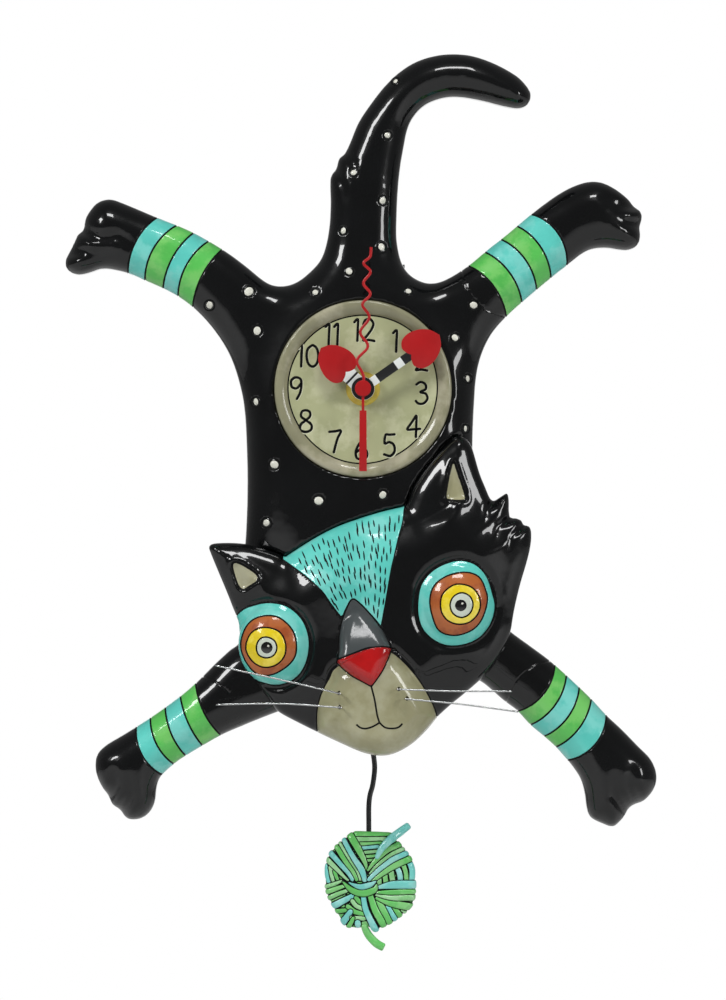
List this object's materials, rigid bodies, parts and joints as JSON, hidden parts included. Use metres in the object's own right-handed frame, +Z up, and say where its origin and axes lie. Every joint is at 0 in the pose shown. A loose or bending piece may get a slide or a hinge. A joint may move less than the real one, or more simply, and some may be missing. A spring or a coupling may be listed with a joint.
{
  "type": "cat tail wall clock",
  "caption": "Wall clock shaped as an upside-down leaping cat, with a dial in its belly, heart and zigzag hands, a quartz movement and a yarn-ball pendulum.",
  "frame": {"origin": "centre of the keyhole in the hanger plate, on the wall plane", "axes": "+X to the right seen from the front, +Y into the wall, +Z up; the dial faces -Y"},
  "size_m": [0.2549, 0.0503, 0.3871],
  "materials": {
    "black_glaze": "high-gloss black over cast resin, painted leg bands and dots",
    "face_paint": "high-gloss black over cast resin with painted eyes, nose, muzzle and brow",
    "dial_paint": "mottled satin olive tan with incised black numerals",
    "whisker_wire": "bright drawn wire",
    "zinc_plate": "zinc-plated sheet",
    "screw_steel": "zinc-plated",
    "case_plastic": "moulded black, fine texture",
    "brass_fittings": "turned and lightly polished",
    "gasket_rubber": "matt",
    "battery_wrap": "plain printed sleeve without marks",
    "contact_spring": "nickel-plated strip",
    "board_green": "solder resist",
    "crystal_can": "drawn can",
    "stator_iron": "stamped soft iron",
    "coil_copper": "enamelled copper winding",
    "arbor_steel": "ground",
    "gear_plastic": "moulded natural acetal",
    "wheel_brass": "stamped",
    "magnet_dark": "sintered, plated",
    "hand_enamel": "glossy red enamel, striped stubs",
    "rod_black": "satin black",
    "yarn_paint": "glossy green and turquoise strands with black lines"
  },
  "bodies": {
    "clock": {"body_shell": "black_glaze", "head_shell": "face_paint", "dial_plate": "dial_paint", "whisker_upper_left": "whisker_wire", "whisker_lower_left": "whisker_wire", "whisker_upper_right": "whisker_wire", "whisker_lower_right": "whisker_wire", "hanger_plate": "zinc_plate", "hanger_screws": "screw_steel", "movement_front_case": "case_plastic", "movement_back_case": "case_plastic", "threaded_bush": "brass_fittings", "rubber_gasket": "gasket_rubber", "brass_washer": "brass_fittings", "hex_nut": "brass_fittings", "contact_positive": "contact_spring", "contact_negative": "contact_spring", "circuit_board": "board_green", "quartz_crystal": "crystal_can", "motor_stator": "stator_iron", "motor_coil": "coil_copper", "pendulum_pin": "arbor_steel", "pendulum_coil": "coil_copper"},
    "battery_cell": {"battery": "battery_wrap"},
    "rotor": {"rotor_arbor": "arbor_steel", "rotor_pinion": "gear_plastic", "rotor_magnet": "magnet_dark"},
    "intermediate": {"intermediate_arbor": "arbor_steel", "intermediate_wheel": "gear_plastic"},
    "second": {"second_arbor": "arbor_steel", "second_wheel": "gear_plastic", "second_hand": "hand_enamel"},
    "third": {"third_arbor": "arbor_steel", "third_wheel": "gear_plastic"},
    "center": {"center_wheel": "wheel_brass"},
    "minute": {"cannon_pinion": "gear_plastic", "minute_hand": "hand_enamel"},
    "motion": {"motion_arbor": "arbor_steel", "motion_wheel": "gear_plastic"},
    "hour": {"hour_wheel": "gear_plastic", "hour_hand": "hand_enamel"},
    "setter": {"set_knob": "case_plastic", "knob_gear": "gear_plastic"},
    "pendulum": {"pendulum_lever": "gear_plastic", "lever_magnet": "magnet_dark", "pendulum_rod": "rod_black", "yarn_ball": "yarn_paint"}
  },
  "joints": [
    {"name": "second_spin", "type": "hinge", "parent": "clock", "child": "second", "pos_m": [0, -0.008, -0.04], "axis": [0, 1, 0], "continuous": true},
    {"name": "rotor_spin", "type": "hinge", "parent": "clock", "child": "rotor", "pos_m": [-0.01526, -0.008, -0.05174], "axis": [0, 1, 0], "continuous": true},
    {"name": "intermediate_spin", "type": "hinge", "parent": "clock", "child": "intermediate", "pos_m": [-0.00723, -0.008, -0.05032], "axis": [0, 1, 0], "continuous": true},
    {"name": "third_spin", "type": "hinge", "parent": "clock", "child": "third", "pos_m": [-0.0106, -0.008, -0.03388], "axis": [0, 1, 0], "continuous": true},
    {"name": "center_spin", "type": "hinge", "parent": "clock", "child": "center", "pos_m": [0, -0.008, -0.04], "axis": [0, 1, 0], "continuous": true},
    {"name": "minute_spin", "type": "hinge", "parent": "clock", "child": "minute", "pos_m": [0, -0.008, -0.04], "axis": [0, 1, 0], "continuous": true},
    {"name": "motion_spin", "type": "hinge", "parent": "clock", "child": "motion", "pos_m": [0.012, -0.008, -0.04], "axis": [0, 1, 0], "continuous": true},
    {"name": "hour_spin", "type": "hinge", "parent": "clock", "child": "hour", "pos_m": [0, -0.008, -0.04], "axis": [0, 1, 0], "continuous": true},
    {"name": "setter_spin", "type": "hinge", "parent": "clock", "child": "setter", "pos_m": [0.018, -0.008, -0.05039], "axis": [0, 1, 0], "continuous": true},
    {"name": "pendulum_swing", "type": "hinge", "parent": "clock", "child": "pendulum", "pos_m": [0, -0.0104, -0.086], "axis": [0, 1, 0], "range_deg": [-8, 8]},
    {"name": "battery_slide", "type": "slide", "parent": "clock", "child": "battery_cell", "axis": [0, 1, 0], "range_m": [0, 0.03]}
  ],
  "couplings": [
    {"joint": "rotor_spin", "follows": "second_spin", "ratio": 30},
    {"joint": "intermediate_spin", "follows": "second_spin", "ratio": -6},
    {"joint": "third_spin", "follows": "second_spin", "ratio": -0.13333},
    {"joint": "center_spin", "follows": "second_spin", "ratio": 0.016667},
    {"joint": "motion_spin", "follows": "minute_spin", "ratio": -0.33333},
    {"joint": "hour_spin", "follows": "minute_spin", "ratio": 0.083333},
    {"joint": "setter_spin", "follows": "minute_spin", "ratio": 1}
  ]
}
